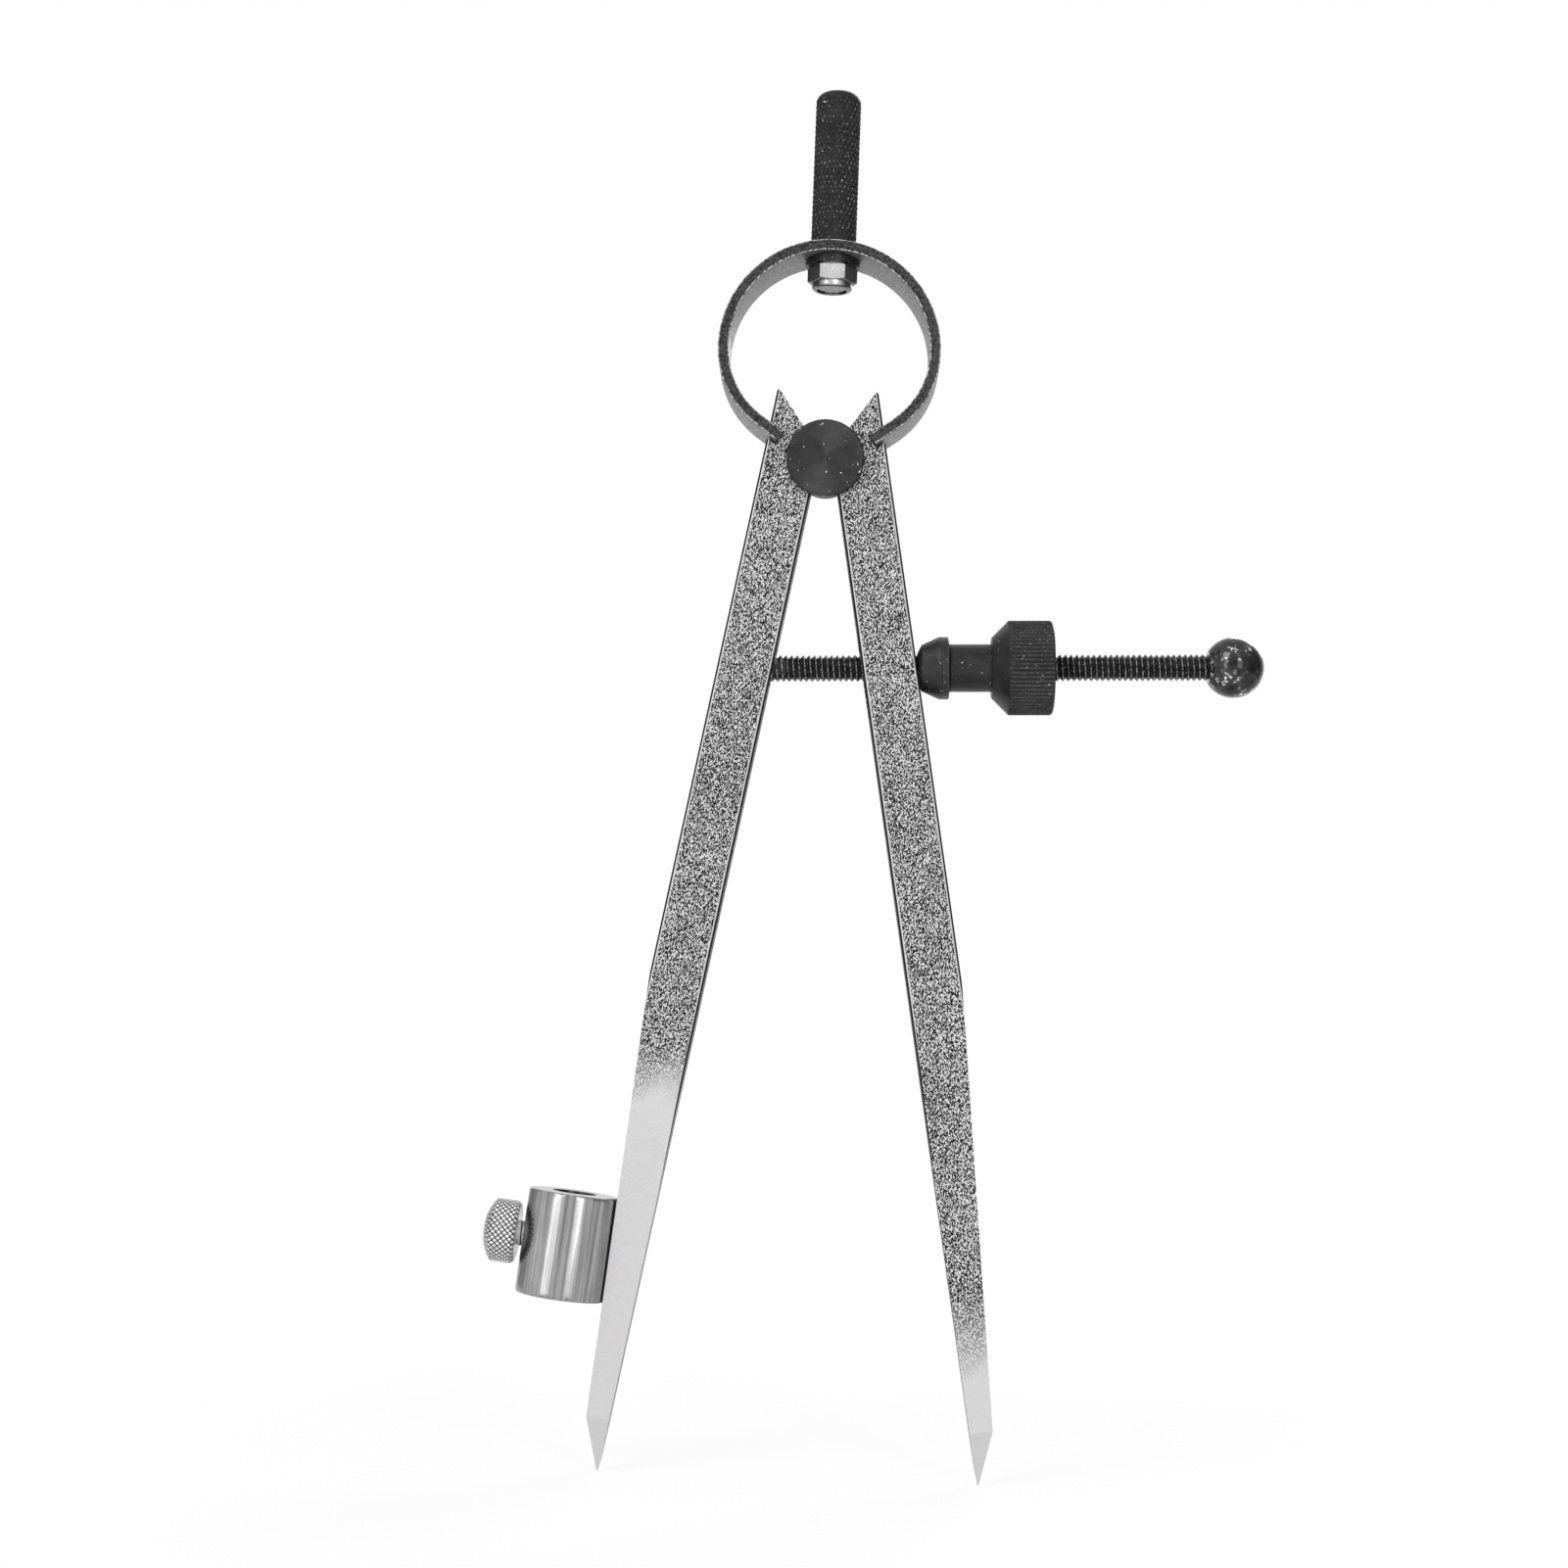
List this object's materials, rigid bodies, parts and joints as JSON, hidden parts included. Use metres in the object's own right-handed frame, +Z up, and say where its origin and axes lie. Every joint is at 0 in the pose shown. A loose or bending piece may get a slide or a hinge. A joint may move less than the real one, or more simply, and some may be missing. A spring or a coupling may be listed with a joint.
{
  "type": "compass divider",
  "caption": "Spring bow divider with flat tapered steel legs, a knurled handle, an adjusting screw with nut and a side tube that clamps a pencil.",
  "frame": {"origin": "midway between the two points, on the surface that they mark", "axes": "+Z up the handle's axis, +X towards the adjusting nut, +Y from the front to the back of the tool"},
  "size_m": [0.1392, 0.0174, 0.2555],
  "materials": {
    "leg_steel": "satin, phosphated grey",
    "black_steel": "black oxide, semi-gloss",
    "bright_steel": "bright plated",
    "nylon": "plain nylon"
  },
  "bodies": {
    "head": {"bow_spring": "black_steel", "handle": "black_steel", "handle_stud": "bright_steel", "saddle_washer": "black_steel", "lock_nut": "bright_steel", "lock_nut_insert": "nylon", "fulcrum_front_cap": "black_steel", "fulcrum_rear_cap": "black_steel", "fulcrum_roller": "black_steel", "fulcrum_rivet": "bright_steel"},
    "left_leg": {"left_leg": "leg_steel", "screw_pivot_pin": "bright_steel", "pencil_tube": "leg_steel"},
    "right_leg": {"right_leg": "leg_steel"},
    "adjusting_screw": {"adjusting_screw": "black_steel", "ball_knob": "black_steel"},
    "cone_washer": {"cone_washer": "black_steel"},
    "adjusting_nut": {"adjusting_nut": "black_steel"},
    "thumb_screw": {"thumb_screw": "bright_steel"}
  },
  "joints": [
    {"name": "left_leg_swing", "type": "hinge", "parent": "head", "child": "left_leg", "pos_m": [0, 0, 0.18576], "axis": [0, 1, 0], "range_deg": [-10.2, 20], "deforming": ["bow_spring"]},
    {"name": "right_leg_swing", "type": "hinge", "parent": "head", "child": "right_leg", "pos_m": [0, 0, 0.18576], "axis": [0, -1, 0], "range_deg": [-10.2, 20], "deforming": ["bow_spring"]},
    {"name": "screw_swing", "type": "hinge", "parent": "left_leg", "child": "adjusting_screw", "pos_m": [-0.01181, 0, 0.14702], "axis": [0, -1, 0], "range_deg": [-10.2, 20]},
    {"name": "washer_travel", "type": "slide", "parent": "adjusting_screw", "child": "cone_washer", "axis": [0.9993, 0, 0.0384], "range_m": [-0.01371, 0.02688]},
    {"name": "nut_turn", "type": "hinge", "parent": "cone_washer", "child": "adjusting_nut", "pos_m": [0.03316, 0, 0.14875], "axis": [0.9993, 0, 0.0384], "range_deg": [-4934.8, 9676.1]},
    {"name": "thumb_screw_travel", "type": "slide", "parent": "left_leg", "child": "thumb_screw", "axis": [0.9947, 0, -0.1024], "range_m": [-0.003, 0.0007]}
  ],
  "couplings": [
    {"joint": "right_leg_swing", "follows": "left_leg_swing", "ratio": 1},
    {"joint": "screw_swing", "follows": "left_leg_swing", "ratio": 1},
    {"joint": "washer_travel", "follows": "left_leg_swing", "m_per_rad": 0.077},
    {"joint": "nut_turn", "follows": "left_leg_swing", "ratio": 483.8}
  ]
}
